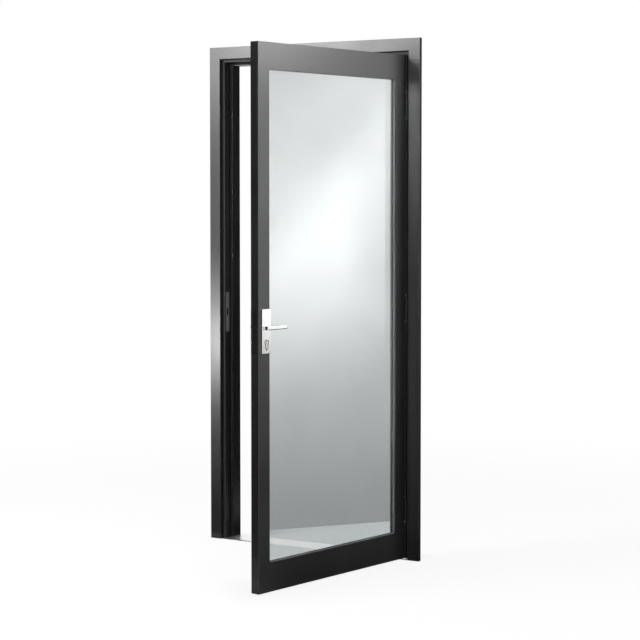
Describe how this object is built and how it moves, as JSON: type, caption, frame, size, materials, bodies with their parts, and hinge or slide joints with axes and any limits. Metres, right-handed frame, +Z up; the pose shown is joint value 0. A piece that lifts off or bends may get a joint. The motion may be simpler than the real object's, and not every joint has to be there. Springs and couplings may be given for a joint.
{
  "type": "aluminium casement door",
  "caption": "Black aluminium casement door with a double-glazed leaf on butt hinges in a rebated frame, with a lever handle, key cylinder, magnetic latch and threshold.",
  "frame": {"origin": "on the floor, under the middle of the frame's width and depth", "axes": "+X to the right seen from the pull side, +Y from the pull side into the wall, +Z up"},
  "size_m": [1, 0.9579, 2.1],
  "materials": {
    "frame_aluminium": "satin black anodised",
    "leaf_aluminium": "satin black anodised",
    "threshold_aluminium": "bright satin",
    "seal_rubber": "matt",
    "black_steel": "satin black",
    "handle_steel": "bright satin stainless",
    "cylinder_steel": "nickel plated",
    "lock_steel": "satin zinc plated",
    "strike_steel": "dark nickel plated",
    "tinted_glass": "clear, pale grey tint",
    "cleat_aluminium": "mill",
    "black_plastic": "moulded",
    "magnet_metal": "plated"
  },
  "bodies": {
    "frame": {"left_jamb": "frame_aluminium", "right_jamb": "frame_aluminium", "head_jamb": "frame_aluminium", "left_architrave": "frame_aluminium", "right_architrave": "frame_aluminium", "head_architrave": "frame_aluminium", "threshold": "threshold_aluminium", "left_frame_seal": "seal_rubber", "right_frame_seal": "seal_rubber", "head_frame_seal": "seal_rubber", "frame_corner_cleats": "cleat_aluminium", "strike_plate": "strike_steel", "strike_box": "black_plastic", "strike_magnet": "magnet_metal", "strike_screws": "strike_steel", "lower_frame_flap": "black_steel", "middle_frame_flap": "black_steel", "upper_frame_flap": "black_steel", "lower_hinge_pin": "black_steel", "middle_hinge_pin": "black_steel", "upper_hinge_pin": "black_steel", "frame_flap_screws": "black_steel", "hinge_cover_strips": "frame_aluminium"},
    "leaf": {"lock_stile": "leaf_aluminium", "hinge_stile": "leaf_aluminium", "top_rail": "leaf_aluminium", "bottom_rail": "leaf_aluminium", "leaf_corner_blocks": "cleat_aluminium", "stile_end_caps": "black_plastic", "glass_pane": "tinted_glass", "rear_glass_pane": "tinted_glass", "glass_spacer": "cleat_aluminium", "front_glazing_gasket": "seal_rubber", "rear_glazing_gasket": "seal_rubber", "lock_side_bead": "leaf_aluminium", "hinge_side_bead": "leaf_aluminium", "top_bead": "leaf_aluminium", "bottom_bead": "leaf_aluminium", "setting_blocks": "black_plastic", "lower_leaf_flap": "black_steel", "middle_leaf_flap": "black_steel", "upper_leaf_flap": "black_steel", "leaf_flap_screws": "black_steel", "lock_case": "lock_steel", "lock_forend": "black_steel", "forend_screws": "black_steel", "front_handle_plate": "handle_steel", "rear_handle_plate": "handle_steel", "handle_plate_bolts": "handle_steel", "cylinder_body": "cylinder_steel", "cylinder_screw": "black_steel"},
    "latch": {"latch_bolt": "black_steel"},
    "handle": {"spindle": "lock_steel", "follower": "lock_steel", "front_lever": "handle_steel", "rear_lever": "handle_steel"},
    "front_key": {"front_cylinder_plug": "cylinder_steel", "cylinder_cam": "cylinder_steel"},
    "rear_key": {"rear_cylinder_plug": "cylinder_steel"}
  },
  "joints": [
    {"name": "leaf_swing", "type": "hinge", "parent": "frame", "child": "leaf", "pos_m": [0.435, -0.047, 1.019], "axis": [0, 0, 1], "range_deg": [-79, 61]},
    {"name": "latch_slide", "type": "slide", "parent": "leaf", "child": "latch", "axis": [0.1908, 0.9816, 0], "range_m": [-0.01, 0], "stiffness_N_per_m": 60, "springref_m": 0.004},
    {"name": "handle_turn", "type": "hinge", "parent": "leaf", "child": "handle", "pos_m": [0.25193, -0.86306, 0.988], "axis": [-0.9816, 0.1908, 0], "range_deg": [0, 45], "stiffness_Nm_per_rad": 2, "springref_deg": -17.19},
    {"name": "front_key_turn", "type": "hinge", "parent": "leaf", "child": "front_key", "pos_m": [0.27058, -0.86669, 0.933], "axis": [-0.9816, 0.1908, 0], "range_deg": [-180, 180]},
    {"name": "rear_key_turn", "type": "hinge", "parent": "leaf", "child": "rear_key", "pos_m": [0.23327, -0.85944, 0.933], "axis": [-0.9816, 0.1908, 0], "range_deg": [-180, 180]}
  ]
}
